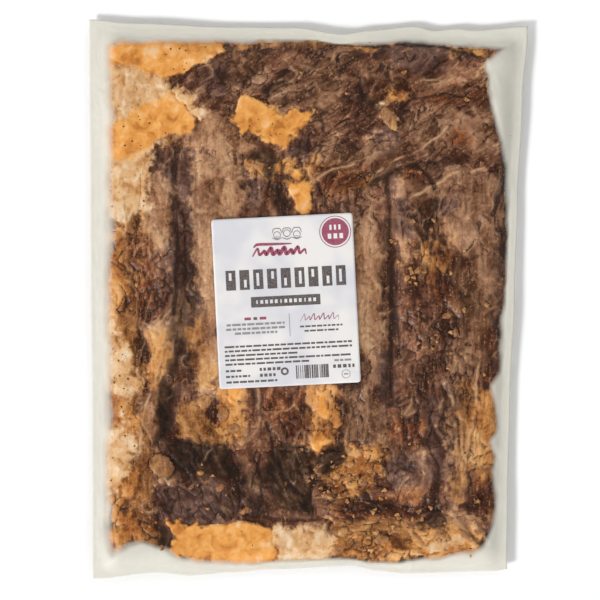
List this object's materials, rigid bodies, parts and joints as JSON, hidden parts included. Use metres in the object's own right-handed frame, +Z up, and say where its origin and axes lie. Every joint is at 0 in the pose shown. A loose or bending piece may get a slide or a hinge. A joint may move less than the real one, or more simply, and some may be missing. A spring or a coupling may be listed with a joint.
{
  "type": "vacuum pack of spareribs",
  "caption": "Flat clear vacuum pouch of cooked spareribs with congealed fat, a sealed margin all round and a paper label on its upper side.",
  "frame": {"origin": "bottom centre of the pouch's bounding box, on the surface it lies on", "axes": "+Z up through the labelled side, +Y along the pouch's length towards the label's top edge, +X across its width"},
  "size_m": [0.312, 0.398, 0.0189],
  "materials": {
    "film": "clear glossy film drawn tight over browned meat and fat",
    "meat": "moist, coarse grained, browned",
    "fat": "smooth, waxy, congealed",
    "bone": "matt, porous",
    "spice": "matt, coarse flakes",
    "label_paper": "satin coated paper",
    "label_ink_dark": "satin print",
    "label_ink_grey": "satin print",
    "label_ink_red": "satin print"
  },
  "bodies": {
    "root": {"pouch": "film", "label": "label_paper"}
  },
  "joints": []
}
